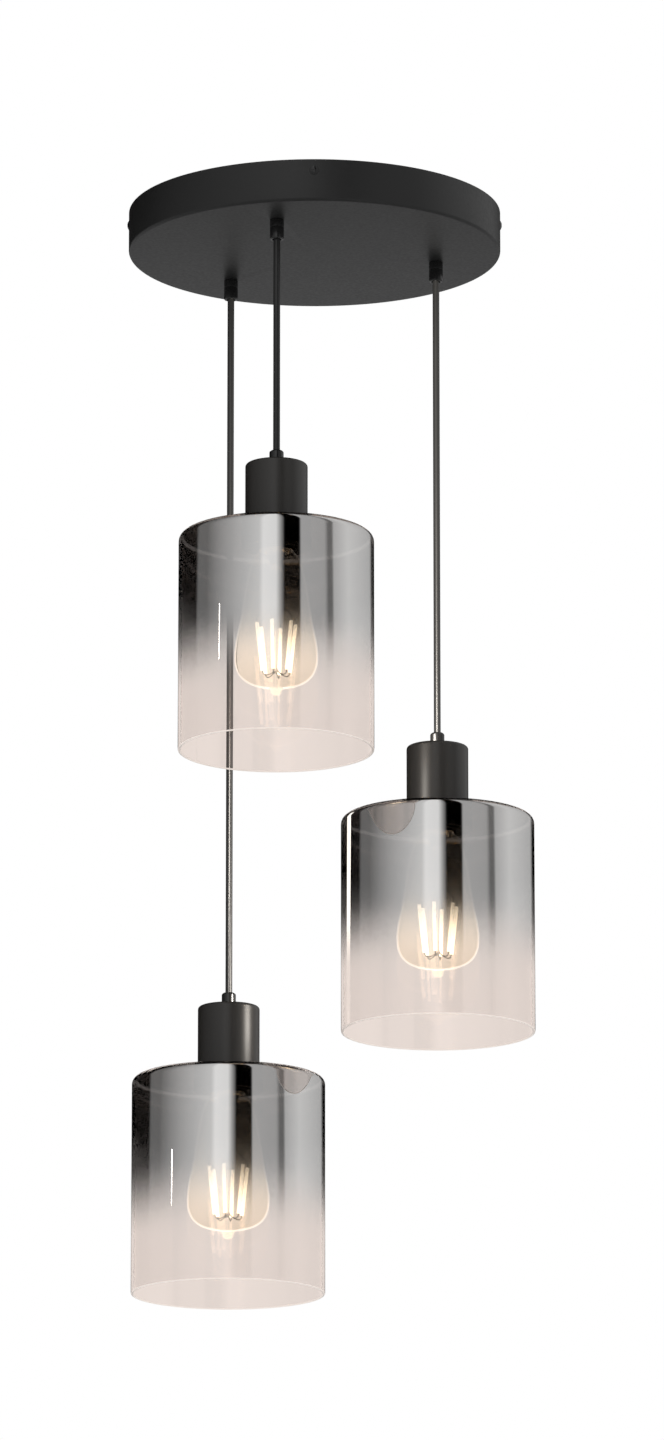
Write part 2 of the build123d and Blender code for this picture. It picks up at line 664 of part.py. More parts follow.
def bulb_wires(lamp):
    """Support wires from the stem to both ends of each filament."""
    wire_r = 0.4
    root_r = 1.3
    top_root_h = 110.0
    low_root_h = 62.6
    x, y = LAMP_XY[lamp - 1]
    with BuildPart() as wires:
        for spread, root_h in ((TOP_SPREAD, top_root_h), (LOW_SPREAD, low_root_h)):
            for tip in spoke_points(lamp, spread):
                outward = Vector(tip.X - x, tip.Y - y, 0).normalized()
                root = Vector(x, y, RIM_Z[lamp - 1] + root_h) + outward * root_r
                with BuildSketch(Plane(origin=root, z_dir=tip - root)):
                    Circle(wire_r)
                extrude(amount=(tip - root).length)
    save(wires.part, f"bulb_wires_{lamp}")


canopy_shell()
ceiling_bracket()
canopy_screws()
ground_screw()
terminal_block()
terminal_screws()
grip_locknuts()
for lamp in LAMPS:
    for make in (grip_body, grip_nut, flex_bush, lead, cord, gland, cup, holder_body, screw_shell,
                 centre_contact, shade_collar, glass_shade, bulb_glass, bulb_cap, bulb_stem,
                 bulb_filaments, bulb_wires):
        make(lamp)
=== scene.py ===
"""Looks for a cluster pendant: black canopy, three cords, black cups, smoke-mirror glass shades and bulbs.

Metres, +Z up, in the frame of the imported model. Each operator makes one kind of piece and puts it where
the frame says; the panel in the 3D view's sidebar lists them in the order that they are made in.
"""
from math import cos, hypot, pi, radians, sin

import bmesh
import bpy
from bpy.props import FloatProperty, FloatVectorProperty, IntProperty, PointerProperty
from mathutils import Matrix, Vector


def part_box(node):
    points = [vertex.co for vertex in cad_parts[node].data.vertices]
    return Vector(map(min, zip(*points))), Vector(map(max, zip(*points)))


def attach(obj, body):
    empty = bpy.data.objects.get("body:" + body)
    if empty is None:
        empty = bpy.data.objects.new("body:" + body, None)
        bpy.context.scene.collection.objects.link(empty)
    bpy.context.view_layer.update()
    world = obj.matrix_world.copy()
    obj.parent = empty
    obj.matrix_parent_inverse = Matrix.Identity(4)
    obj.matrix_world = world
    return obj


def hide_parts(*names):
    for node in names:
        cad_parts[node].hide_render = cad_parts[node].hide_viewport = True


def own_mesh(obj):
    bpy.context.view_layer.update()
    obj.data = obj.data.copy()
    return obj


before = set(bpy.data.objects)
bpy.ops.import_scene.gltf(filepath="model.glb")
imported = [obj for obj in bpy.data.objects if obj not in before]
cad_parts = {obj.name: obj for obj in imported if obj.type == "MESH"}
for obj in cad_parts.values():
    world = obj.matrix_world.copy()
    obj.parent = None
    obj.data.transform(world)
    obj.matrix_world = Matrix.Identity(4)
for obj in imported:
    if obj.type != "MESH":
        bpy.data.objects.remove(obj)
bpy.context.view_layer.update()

bl_info = {
    "name": "Cluster Pendant Light",
    "version": (1, 0, 0),
    "blender": (4, 5, 0),
    "location": "View3D > Sidebar > Pendant",
    "description": "Builds the pieces and finishes of a cluster pendant light around its packed model",
    "category": "Object",
}

LAMPS = (1, 2, 3)
MM = 0.001
TOUCH = 1e-6  # two points nearer than this are one
CORNER_STEPS = 6  # faces along a rounded corner of a turned outline
SHARP_EDGE = radians(30)  # faces that meet at more than this keep a crisp edge


# ---- Places from the frame ----
def mm(value):
    """Millimetres to metres."""
    return value * MM


def lamp_axis(lamp):
    """Where a lamp's upright axis meets the ceiling plane."""
    low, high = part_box(f"glass_shade_{lamp}")
    return Vector(((low.x + high.x) / 2, (low.y + high.y) / 2, 0))


def low_high(node):
    """Lowest and highest height of a node."""
    low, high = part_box(node)
    return low.z, high.z


def radius_of(node):
    """Half a round node's width."""
    low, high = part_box(node)
    return (high.x - low.x) / 2


# ---- Sizes and colours ----
def srgb(code):
    """Linear colour of an sRGB hex value."""
    parts = [int(code[i:i + 2], 16) / 255 for i in (1, 3, 5)]
    return tuple(p / 12.92 if p <= 0.04045 else ((p + 0.055) / 1.055) ** 2.4 for p in parts)


def length(name, description, default):
    return FloatProperty(name=name, description=description, default=default, unit="LENGTH", precision=4)


def colour(name, description, code):
    return FloatVectorProperty(name=name, description=description, default=srgb(code), subtype="COLOR",
                               size=3, min=0, max=1)


class PendantSizes(bpy.types.PropertyGroup):
    canopy_edge: length("Canopy edge", "Radius of the pan's lower edge", mm(2.5))
    sheet: length("Sheet", "Thickness of the pan's and the cups' sheet steel", mm(1.2))
    cord_radius: length("Cord radius", "Half the cord's diameter", mm(2.65))
    cup_edge: length("Cup edge", "Radius of the cup's upper edge", mm(2.5))
    shade_wall: length("Shade wall", "Thickness of the glass", mm(2.5))
    shade_shoulder: length("Shade shoulder", "Radius between the shade's wall and its flat top", mm(6))
    mirror_top: length("Mirror top", "Height over the rim above which the mirror coat is whole", mm(98))
    mirror_end: length("Mirror end", "Height over the rim below which the glass is clear", mm(40))
    round_steps: IntProperty(name="Round steps", description="Faces around the largest turned pieces",
                             default=192, min=32, max=512)


class PendantColours(bpy.types.PropertyGroup):
    canopy: colour("Canopy", "Powder coat of the canopy", "#171717")
    cup: colour("Cup", "Enamel of the cups", "#262422")
    fitting: colour("Fittings", "Lacquer of the cord grips and glands", "#101010")
    cord: colour("Cord", "Sheath of the cords", "#181818")
    mirror: colour("Mirror", "Metal coat of the shades", "#E5E4E3")
    clear_glass: colour("Clear glass", "Tint of one pass through the shade's wall", "#F7F0EC")
    glow: colour("Glow", "Light of the filaments", "#FFF8EA")
    background: colour("Background", "Studio wall and floor", "#FFFFFF")


# Radii in metres that the turned pieces share
THREAD = mm(4.95)
THREAD_HOLE = mm(5.05)


# ---- Modelling ----
def deselect_all():
    if bpy.context.object and bpy.context.object.mode != "OBJECT":
        bpy.ops.object.mode_set(mode="OBJECT")
    bpy.ops.object.select_all(action="DESELECT")


def edit(piece):
    deselect_all()
    piece.select_set(True)
    bpy.context.view_layer.objects.active = piece
    bpy.ops.object.mode_set(mode="EDIT")
    bpy.ops.mesh.select_mode(type="VERT")


def leave_edit():
    bpy.ops.object.mode_set(mode="OBJECT")


def pick(piece, wanted):
    """Select the vertices that wanted(co) accepts, with the edges and faces between them."""
    bpy.ops.mesh.select_all(action="DESELECT")
    points = bmesh.from_edit_mesh(piece.data)
    for vertex in points.verts:
        vertex.select = bool(wanted(vertex.co))
    points.select_flush_mode()
    bmesh.update_edit_mesh(piece.data)


def new_point(name, place):
    """A piece in edit mode that is one vertex so far."""
    deselect_all()
    bpy.ops.mesh.primitive_plane_add(size=0.01, location=(0, 0, 0))
    piece = bpy.context.object
    piece.name = name
    edit(piece)
    bpy.ops.mesh.select_all(action="SELECT")
    bpy.ops.mesh.merge(type="CENTER")
    bpy.ops.transform.translate(value=place)
    return piece


def draw_outline(name, axis, outline, closed):
    """Extrude an upright outline of (radius, height, corner radius) point by point, then round its corners."""
    places = [Vector((axis.x + r, axis.y, z)) for r, z, _ in outline]
    piece = new_point(name, places[0])
    for before, after in zip(places, places[1:]):
        bpy.ops.mesh.extrude_vertices_move(TRANSFORM_OT_translate={"value": after - before})
    if closed:
        pick(piece, lambda co: (co - places[0]).length < TOUCH or (co - places[-1]).length < TOUCH)
        bpy.ops.mesh.edge_face_add()
    for place, (_, _, corner) in zip(places, outline):
        if corner:
            pick(piece, lambda co: (co - place).length < TOUCH)
            bpy.ops.mesh.bevel(offset=corner, segments=CORNER_STEPS, affect="VERTICES")
    return piece


def spin_round(piece, axis, steps):
    """Turn the outline once about the axis into a closed skin with its faces outward."""
    bpy.ops.mesh.select_all(action="SELECT")
    bpy.ops.mesh.spin(steps=steps, angle=2 * pi, center=axis, axis=(0, 0, 1))
    bpy.ops.mesh.select_all(action="SELECT")
    bpy.ops.mesh.remove_doubles(threshold=TOUCH)
    bpy.ops.mesh.normals_make_consistent(inside=False)
    leave_edit()


def lathe(name, axis, outline, steps, closed=True):
    """A turned piece. An open outline has both its ends on the axis."""
    piece = draw_outline(name, axis, outline, closed)
    spin_round(piece, axis, steps)
    return piece


def smooth_line(name, places, closed=False):
    """A mesh line through a few places, as smooth as a bent batten."""
    deselect_all()
    bpy.ops.curve.primitive_bezier_curve_add(location=(0, 0, 0))
    piece = bpy.context.object
    piece.name = name
    line = piece.data.splines[0]
    line.bezier_points.add(len(places) - len(line.bezier_points))
    for point, place in zip(line.bezier_points, places):
        point.co = place
        point.handle_left_type = point.handle_right_type = "AUTO"
    line.use_cyclic_u = closed
    piece.data.resolution_u = 8
    return piece


def apply_all(piece):
    deselect_all()
    piece.select_set(True)
    bpy.context.view_layer.objects.active = piece
    bpy.ops.object.transform_apply(location=True, rotation=True, scale=True)
    for modifier in list(piece.modifiers):
        bpy.ops.object.modifier_apply(modifier=modifier.name)


def cut(piece, tool):
    """Take the tool's shape out of the piece."""
    modifier = piece.modifiers.new("Cut", "BOOLEAN")
    modifier.operation = "DIFFERENCE"
    modifier.solver = "EXACT"
    modifier.object = tool
    apply_all(piece)
    bpy.data.objects.remove(tool)


def join(pieces, name):
    deselect_all()
    for piece in pieces:
        piece.select_set(True)
    bpy.context.view_layer.objects.active = pieces[0]
    bpy.ops.object.join()
    pieces[0].name = name
    return pieces[0]


def copy_to(piece, name, shift):
    """A copy with its own mesh, moved in the mesh."""
    twin = piece.copy()
    twin.data = piece.data.copy()
    twin.name = name
    bpy.context.collection.objects.link(twin)
    edit(twin)
    bpy.ops.mesh.select_all(action="SELECT")
    bpy.ops.transform.translate(value=shift)
    leave_edit()
    return twin


def finish_piece(piece, materials, body, node):
    """Shade, paint and hand over one finished piece, in place of its node."""
    apply_all(piece)
    bpy.ops.object.shade_smooth_by_angle(angle=SHARP_EDGE)
    if materials:
        piece.data.materials.clear()
        for name in materials:
            piece.data.materials.append(finish(name))
    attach(piece, body)
    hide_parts(node)


def each_lamp(first, name, materials, body, node, level_of=None):
    """Copy the first lamp's piece to the other two, as far apart as their nodes, and finish all three."""
    level_of = level_of or node
    made = {1: first}
    for lamp in LAMPS[1:]:
        shift = lamp_axis(lamp) - lamp_axis(1)
        shift.z = low_high(f"{level_of}_{lamp}")[0] - low_high(f"{level_of}_1")[0]
        made[lamp] = copy_to(first, f"{name}_{lamp}", shift)
    for lamp, piece in made.items():
        finish_piece(piece, materials, f"{body}_{lamp}" if body != "canopy" else body,
                     f"{node}_{lamp}")
    return made


# ---- Finishes ----
def add(material, kind, inputs=None, links=None, **settings):
    """Add a shader node with its settings, its plain inputs and the outputs that feed it."""
    made = material.node_tree.nodes.new(kind)
    for key, value in settings.items():
        setattr(made, key, value)
    for key, value in (inputs or {}).items():
        made.inputs[key].default_value = value
    for key, source in (links or {}).items():
        material.node_tree.links.new(source, made.inputs[key])
    return made


def blank(name, base, roughness, metallic=0.0):
    """A new material and its shader with a plain base colour."""
    material = bpy.data.materials.new(name)
    material.use_nodes = True
    shader = material.node_tree.nodes["Principled BSDF"]
    shader.inputs["Base Color"].default_value = (*base, 1)
    shader.inputs["Roughness"].default_value = roughness
    shader.inputs["Metallic"].default_value = metallic
    return material, shader


def feed(material, output, shader, socket):
    material.node_tree.links.new(output, shader.inputs[socket])


def grain(material, size, detail=2.0, stretch=(1, 1, 1)):
    """Noise over the object's own coordinates whose blobs are about size metres across."""
    place = add(material, "ShaderNodeTexCoord")
    turned = add(material, "ShaderNodeMapping", {"Scale": stretch}, {"Vector": place.outputs["Object"]})
    return add(material, "ShaderNodeTexNoise", {"Scale": 1 / size, "Detail": detail},
               {"Vector": turned.outputs[0]})


def vary(material, shader, source, socket, low, high):
    """Let a pattern swing one of the shader's numbers between two values."""
    swing = add(material, "ShaderNodeMapRange", {"From Min": 0.3, "From Max": 0.7, "To Min": low,
                                                 "To Max": high}, {"Value": source})
    feed(material, swing.outputs[0], shader, socket)


def bump(material, shader, source, height):
    """Raise a pattern by height metres."""
    relief = add(material, "ShaderNodeBump", {"Distance": height, "Strength": 1.0}, {"Height": source})
    feed(material, relief.outputs[0], shader, "Normal")


def tint(material, shader, source, dark, light):
    """Colour that wanders between two close tones."""
    mixed = add(material, "ShaderNodeMix", {6: (*dark, 1), 7: (*light, 1)}, {0: source}, data_type="RGBA")
    feed(material, mixed.outputs[2], shader, "Base Color")


def scaled(tone, share):
    return tuple(min(1, c * share) for c in tone)


def powder_coat():
    """Powder-coated steel, stoved: an even satin black with a faint orange peel that breaks reflections."""
    tone = bpy.context.scene.pendant_colours.canopy
    material, shader = blank("powder_coated_steel", tone, 0.42)
    # the real peel is about 1 mm across; 2.5 mm shows at the size of the whole light
    peel = grain(material, mm(2.5))
    tint(material, shader, peel.outputs[0], scaled(tone, 0.9), scaled(tone, 1.1))
    vary(material, shader, peel.outputs[0], "Roughness", 0.38, 0.46)
    bump(material, shader, peel.outputs[0], mm(0.012))
    return material


def enamel():
    """Stoved enamel over drawn steel: warm black, smoother than powder coat, with fine upright draw lines."""
    tone = bpy.context.scene.pendant_colours.cup
    material, shader = blank("stoved_enamel_steel", tone, 0.36)
    lines = grain(material, mm(3), stretch=(1, 1, 0.06))
    tint(material, shader, lines.outputs[0], scaled(tone, 0.93), scaled(tone, 1.07))
    vary(material, shader, lines.outputs[0], "Roughness", 0.31, 0.37)
    bump(material, shader, lines.outputs[0], mm(0.002))
    return material


def lacquer():
    """Turned and lacquered steel: near black with a clear shine, and faint tool rings under the lacquer."""
    tone = bpy.context.scene.pendant_colours.fitting
    material, shader = blank("lacquered_turned_steel", tone, 0.22)
    shader.inputs["Coat Weight"].default_value = 0.2
    shader.inputs["Coat Roughness"].default_value = 0.12
    rings = grain(material, mm(1.5), stretch=(0.05, 0.05, 1))
    tint(material, shader, rings.outputs[0], scaled(tone, 0.85), scaled(tone, 1.15))
    vary(material, shader, rings.outputs[0], "Roughness", 0.2, 0.27)
    bump(material, shader, rings.outputs[0], mm(0.0006))
    return material


def sheath():
    """Extruded soft sheath: black with a slight gloss, drawn out in fine lines along the cord."""
    tone = bpy.context.scene.pendant_colours.cord
    material, shader = blank("extruded_cord_sheath", tone, 0.38)
    lines = grain(material, mm(2), stretch=(1, 1, 0.02))
    tint(material, shader, lines.outputs[0], scaled(tone, 0.88), scaled(tone, 1.12))
    vary(material, shader, lines.outputs[0], "Roughness", 0.3, 0.36)
    bump(material, shader, lines.outputs[0], mm(0.0002))
    return material


def over_rim(material, lamp, wander):
    """Height over the lamp's own rim, with an edge that wanders up and down by a few millimetres."""
    place = add(material, "ShaderNodeTexCoord")
    split = add(material, "ShaderNodeSeparateXYZ", links={0: place.outputs["Object"]})
    cloud = add(material, "ShaderNodeTexNoise", {"Scale": 1 / mm(60), "Detail": 1.0},
                {"Vector": place.outputs["Object"]})
    rim = low_high(f"glass_shade_{lamp}")[0]
    drift = add(material, "ShaderNodeMapRange", {"To Min": -rim - wander, "To Max": -rim + wander},
                {"Value": cloud.outputs[0]})
    return add(material, "ShaderNodeMath", links={0: split.outputs[2], 1: drift.outputs[0]},
               operation="ADD").outputs[0]


def rise(material, height, start, end, low=0.0, high=1.0):
    """A soft step between two heights."""
    return add(material, "ShaderNodeMapRange", {"From Min": start, "From Max": end, "To Min": low,
                                                "To Max": high}, {"Value": height},
               interpolation_type="SMOOTHSTEP").outputs[0]


# Low, so that the walls neither bend nor darken what is seen through their slanted sides
THIN_WALL_IOR = 1.012
GLASS_MIRROR = 0.07  # share of the light that bare glass mirrors, the same at every slant
COAT_MIRROR = 0.91  # share that the whole coat mirrors
# Millimetres over the rim between which the coat starts to mirror inwards too
INSIDE_TOP, INSIDE_END = 134, 100


def glass(name, base, metallic):
    """Clear glass with plain reflections weak enough that its edges stay as clear as its middle."""
    material, shader = blank(name, base, 0.0, metallic)
    shader.inputs["IOR"].default_value = THIN_WALL_IOR
    shader.inputs["Transmission Weight"].default_value = 1.0
    return material, shader


def coated_glass(lamp):
    """Blown soda-lime glass with a metal film on its outside: a smoke mirror above, faded to clear below."""
    sizes = bpy.context.scene.pendant_sizes
    colours = bpy.context.scene.pendant_colours
    material, shader = glass(f"mirror_coated_glass_{lamp}", colours.clear_glass, GLASS_MIRROR)
    height = over_rim(material, lamp, mm(2))
    strength = rise(material, height, sizes.mirror_end, sizes.mirror_top, GLASS_MIRROR, COAT_MIRROR)
    # the film's thin lower part mirrors on its outside only
    inside = rise(material, height, mm(INSIDE_END), mm(INSIDE_TOP), GLASS_MIRROR, COAT_MIRROR)
    side = add(material, "ShaderNodeNewGeometry")
    share = add(material, "ShaderNodeMix", links={0: side.outputs["Backfacing"], 2: strength, 3: inside})
    feed(material, share.outputs[0], shader, "Metallic")
    film = rise(material, height, sizes.mirror_end, sizes.mirror_top)
    mixed = add(material, "ShaderNodeMix", {6: (*colours.clear_glass, 1), 7: (*colours.mirror, 1)},
                {0: film}, data_type="RGBA")
    feed(material, mixed.outputs[2], shader, "Base Color")
    return material


def clear_glass():
    """Blown soda-lime glass, bare: clear with a faint warm tint and the slow waves of blowing."""
    colours = bpy.context.scene.pendant_colours
    material, shader = glass("blown_clear_glass", colours.clear_glass, GLASS_MIRROR)
    waves = grain(material, mm(30), detail=0.0)
    bump(material, shader, waves.outputs[0], mm(0.03))
    return material


def rim_glass():
    """Ground and fire-polished rim: it gathers light along the glass's edge into a thin pale line."""
    material, shader = blank("ground_glass_rim", srgb("#FFF4EC"), 0.35)
    shader.inputs["Transmission Weight"].default_value = 0.35
    ground = grain(material, mm(0.8))
    vary(material, shader, ground.outputs[0], "Roughness", 0.3, 0.4)
    bump(material, shader, ground.outputs[0], mm(0.01))
    return material


# Heights over the shade's rim, in millimetres, between which the bulb's glass carries a painted glow that
# stands in for its filaments' light
HAZE_FADE_LOW, HAZE_FULL_LOW, HAZE_FULL_HIGH, HAZE_FADE_HIGH = 50, 100, 104, 128
TIP_LOW, TIP_HIGH = 48, 51
PAINTED_GLOW_SHARE = 0.25  # how bright the painted glow is beside the painted bright edge line of the glass
PAINTED_GLOW_STRENGTH = 0.5
FILAMENT_STRENGTH = 1.8


def bulb_envelope(lamp):
    """Thin blown bulb glass: clear, with a painted cream glow that stands in for the light of its filaments.
    """
    material, shader = glass(f"blown_bulb_glass_{lamp}", srgb("#FFFBF4"), 0.02)
    height = over_rim(material, lamp, 0)
    above = rise(material, height, mm(HAZE_FADE_LOW), mm(HAZE_FULL_LOW), 0.15, 1.0)
    below = rise(material, height, mm(HAZE_FULL_HIGH), mm(HAZE_FADE_HIGH), 1.0, 0.05)
    belly = add(material, "ShaderNodeMath", links={0: above, 1: below}, operation="MULTIPLY")
    # the thick sealed tip carries the painted glow too
    tip = rise(material, height, mm(TIP_LOW), mm(TIP_HIGH), 1.0, 0.0)
    share = add(material, "ShaderNodeMath", links={0: belly.outputs[0], 1: tip}, operation="MAXIMUM")
    painted_glow = add(material, "ShaderNodeMix", {6: (0, 0, 0, 1), 7: (*scaled(srgb("#FFF0DA"), PAINTED_GLOW_SHARE), 1)},
               {0: share.outputs[0]}, data_type="RGBA")
    # a painted bright line where the glass is seen along its wall
    slant = add(material, "ShaderNodeLayerWeight", {"Blend": 0.5})
    line = rise(material, slant.outputs["Facing"], 0.72, 0.98)
    painted_edge_glow = add(material, "ShaderNodeMix", {7: (1, 0.93, 0.85, 1)}, {0: line, 6: painted_glow.outputs[2]},
               data_type="RGBA")
    # the painted glow and the painted edge line go into the glass's emission, though the glass is no lamp
    feed(material, painted_edge_glow.outputs[2], shader, "Emission Color")
    shader.inputs["Emission Strength"].default_value = PAINTED_GLOW_STRENGTH
    return material


def stem_glass():
    """Pressed lead-free stem glass: clear and thick, so its edges draw dark and light lines."""
    material, shader = blank("pressed_stem_glass", srgb("#FAF6EE"), 0.02)
    shader.inputs["IOR"].default_value = 1.52
    shader.inputs["Transmission Weight"].default_value = 1.0
    seeds = grain(material, mm(2.0), detail=0.0)
    bump(material, shader, seeds.outputs[0], mm(0.02))
    return material


def phosphor():
    """Phosphor gum over a filament strip, lit: warm white, a little brighter and dimmer in beads."""
    colours = bpy.context.scene.pendant_colours
    material, shader = blank("lit_phosphor_strip", srgb("#F6E6C4"), 0.6)
    beads = grain(material, mm(1.5), detail=0.0)
    glow = add(material, "ShaderNodeMix", {6: (*srgb("#FFF6E4"), 1), 7: (*colours.glow, 1)},
               {0: beads.outputs[0]}, data_type="RGBA")
    feed(material, glow.outputs[2], shader, "Emission Color")
    shader.inputs["Emission Strength"].default_value = FILAMENT_STRENGTH
    return material


def metal(name, tone, roughness, size, stretch, depth):
    """Bare or plated metal whose tone and shine wander along its grain."""
    material, shader = blank(name, srgb(tone), roughness, 1.0)
    lines = grain(material, size, stretch=stretch)
    tint(material, shader, lines.outputs[0], scaled(srgb(tone), 0.85), scaled(srgb(tone), 1.08))
    vary(material, shader, lines.outputs[0], "Roughness", roughness * 0.8, roughness * 1.25)
    bump(material, shader, lines.outputs[0], depth)
    return material


def zinc_plate():
    """Zinc-plated pressed steel: pale grey with a cloudy bloom and a soft shine."""
    return metal("zinc_plated_steel", "#B9BCC0", 0.38, mm(6), (1, 1, 1), mm(0.01))


def rolled_brass():
    """Rolled and pressed brass: warm yellow, bright, with rolling lines."""
    return metal("rolled_brass", "#D8B066", 0.24, mm(1.2), (0.1, 1, 1), mm(0.006))


def nickel_cap():
    """Nickel-plated rolled brass of the bulb's cap: pale, bright, ringed by the rolling."""
    return metal("nickel_plated_cap", "#D3CFC6", 0.2, mm(1.0), (0.08, 0.08, 1), mm(0.006))


def drawn_wire():
    """Drawn nickel wire: dull grey with lengthwise draw marks."""
    return metal("drawn_nickel_wire", "#8E8A84", 0.35, mm(0.5), (1, 1, 0.2), mm(0.003))


def moulded(name, tone, roughness, size, depth):
    """Moulded plastic: even colour with a fine tool texture."""
    material, shader = blank(name, srgb(tone), roughness)
    skin = grain(material, size, detail=3.0)
    tint(material, shader, skin.outputs[0], scaled(srgb(tone), 0.9), scaled(srgb(tone), 1.08))
    vary(material, shader, skin.outputs[0], "Roughness", roughness * 0.85, roughness * 1.15)
    bump(material, shader, skin.outputs[0], depth)
    return material


def phenolic():
    """Pressed phenolic of the lampholders: brown-black with a dull polish."""
    return moulded("pressed_phenolic", "#1B1917", 0.34, mm(3), mm(0.01))


def nylon():
    """Moulded nylon of the bushes: black and waxy."""
    return moulded("moulded_nylon", "#202020", 0.5, mm(1.5), mm(0.01))


def block_plastic():
    """Moulded polyamide of the terminal block: off-white, slightly glossy, with a fine spark texture."""
    return moulded("moulded_polyamide", "#DEDCD3", 0.45, mm(1.2), mm(0.012))


FINISHES = {make.__name__: make for make in (
    powder_coat, enamel, lacquer, sheath, coated_glass, clear_glass, rim_glass, bulb_envelope, stem_glass,
    phosphor, zinc_plate, rolled_brass, nickel_cap, drawn_wire, phenolic, nylon, block_plastic)}
made_finishes = {}


def finish(*wanted):
    """A finish by its short name, and its lamp where it has one, made the first time that it is asked for."""
    if wanted not in made_finishes:
        name, *lamp = wanted
        made_finishes[wanted] = FINISHES[name](*lamp)
    return made_finishes[wanted]


# ---- Pieces ----
class PENDANT_OT_canopy(bpy.types.Operator):
    """Spin the canopy's pan and pierce it for the cord grips and the side screws"""
    bl_idname = "pendant.canopy"
    bl_label = "Canopy pan"

    def execute(self, context):
        sizes = context.scene.pendant_sizes
        face, top = low_high("canopy_shell")
        outer = radius_of("canopy_shell")
        inner = outer - sizes.sheet
        floor = face + sizes.sheet
        axis = Vector((0, 0, 0))
        outline = [(0, floor, 0), (inner, floor, sizes.canopy_edge - sizes.sheet), (inner, top, mm(0.35)),
                   (outer, top, mm(0.35)), (outer, face, sizes.canopy_edge), (0, face, 0)]
        pan = lathe("canopy_pan", axis, outline, 256, closed=False)
        for lamp in LAMPS:
            deselect_all()
            bpy.ops.mesh.primitive_cylinder_add(vertices=48, radius=THREAD_HOLE, depth=mm(10),
                                                location=lamp_axis(lamp) + Vector((0, 0, face)))
            cut(pan, context.object)
        screw_height = sum(low_high("canopy_screws")) / 2
        for turn in ((0, pi / 2, 0), (pi / 2, 0, 0)):
            deselect_all()
            bpy.ops.mesh.primitive_cylinder_add(vertices=32, radius=mm(2.3), depth=3 * outer,
                                                location=(0, 0, screw_height), rotation=turn)
            cut(pan, context.object)
        finish_piece(pan, ["powder_coat"], "canopy", "canopy_shell")
        return {"FINISHED"}


class PENDANT_OT_cord_grips(bpy.types.Operator):
    """Turn the barrel and the clamp nut of each cord grip"""
    bl_idname = "pendant.cord_grips"
    bl_label = "Cord grips"

    def execute(self, context):
        sizes = context.scene.pendant_sizes
        axis = lamp_axis(1)
        stub, stem_top = low_high("grip_body_1")
        mouth, split = low_high("grip_nut_1")
        face = low_high("canopy_shell")[0]
        grip = radius_of("grip_body_1")
        bore = sizes.cord_radius + mm(0.1)
        spigot = mm(4.35)
        recess = mm(4.4)
        nut_mouth = mm(3.6)
        barrel = lathe("grip_barrel_1", axis, [
            (bore, stem_top, 0), (THREAD, stem_top, mm(0.5)), (THREAD, face, 0), (grip, face, mm(0.3)),
            (grip, split, mm(0.25)), (spigot, split, 0), (spigot, stub, mm(0.3)), (bore, stub, 0)], 64)
        each_lamp(barrel, "grip_barrel", ["lacquer"], "canopy", "grip_body")
        nut = lathe("grip_clamp_nut_1", axis, [
            (recess, split, 0), (grip, split, mm(0.25)), (grip, mouth, mm(1.1)), (nut_mouth, mouth, mm(0.4)),
            (nut_mouth, mouth + mm(1.1), 0), (recess, mouth + mm(1.1), 0)], 64)
        each_lamp(nut, "grip_clamp_nut", ["lacquer"], "canopy", "grip_nut")
        return {"FINISHED"}


CORD_STATIONS = (0.0, 0.3, 0.7, 1.0)  # a taut cord is straight from its grip to its gland


class PENDANT_OT_cords(bpy.types.Operator):
    """Lay a tube along each cord's straight route, from its grip down into its cup"""
    bl_idname = "pendant.cords"
    bl_label = "Cords"

    def execute(self, context):
        sizes = context.scene.pendant_sizes
        for lamp in LAMPS:
            axis = lamp_axis(lamp)
            bottom, top = low_high(f"cord_{lamp}")
            route = [axis + Vector((0, 0, top + share * (bottom - top))) for share in CORD_STATIONS]
            path = read_route(route)
            deselect_all()
            bpy.ops.mesh.primitive_circle_add(vertices=32, radius=sizes.cord_radius, location=path[0],
                                              fill_type="NGON")
            tube = context.object
            tube.name = f"hanging_cord_{lamp}"
            edit(tube)
            bpy.ops.mesh.select_all(action="SELECT")
            for before, after in zip(path, path[1:]):
                bpy.ops.mesh.extrude_region_move(TRANSFORM_OT_translate={"value": after - before})
            bpy.ops.mesh.select_all(action="SELECT")
            bpy.ops.mesh.normals_make_consistent(inside=False)
            leave_edit()
            finish_piece(tube, ["sheath"], f"cord_{lamp}", f"cord_{lamp}")
            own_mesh(tube)
        return {"FINISHED"}


def read_route(route):
    """Places along the smooth line that a cord's route points control."""
    deselect_all()
    bpy.ops.curve.primitive_nurbs_path_add(location=(0, 0, 0))
    guide = bpy.context.object
    guide.data.splines.clear()
    line = guide.data.splines.new("NURBS")
    line.points.add(len(route) - 1)
    for point, place in zip(line.points, route):
        point.co = (*place, 1)
    line.order_u = 3
    line.use_endpoint_u = True
    guide.data.resolution_u = 6
    bpy.context.view_layer.update()
    read = bpy.data.meshes.new_from_object(guide)
    path = [vertex.co.copy() for vertex in read.vertices]
    bpy.data.objects.remove(guide)
    return path


class PENDANT_OT_glands(bpy.types.Operator):
    """Turn the gland on top of each cup"""
    bl_idname = "pendant.glands"
    bl_label = "Cup glands"

    def execute(self, context):
        sizes = context.scene.pendant_sizes
        stem_end, top = low_high("gland_1")
        seat = low_high("cup_1")[1]
        grip = radius_of("gland_1")
        bore = sizes.cord_radius + mm(0.08)
        gland = lathe("cup_gland_1", lamp_axis(1), [
            (bore, top, mm(0.1)), (grip - mm(1.6), top, mm(0.5)), (grip, top - mm(1.2), mm(0.7)),
            (grip, seat + mm(2.4), mm(0.2)), (grip - mm(0.35), seat + mm(2.1), 0),
            (grip - mm(0.35), seat + mm(1.7), 0), (grip, seat + mm(1.4), mm(0.2)), (grip, seat, mm(0.2)),
            (THREAD, seat, 0), (THREAD, stem_end, mm(0.5)), (bore, stem_end, 0)], 64)
        each_lamp(gland, "cup_gland", ["lacquer"], "lamp", "gland")
        return {"FINISHED"}


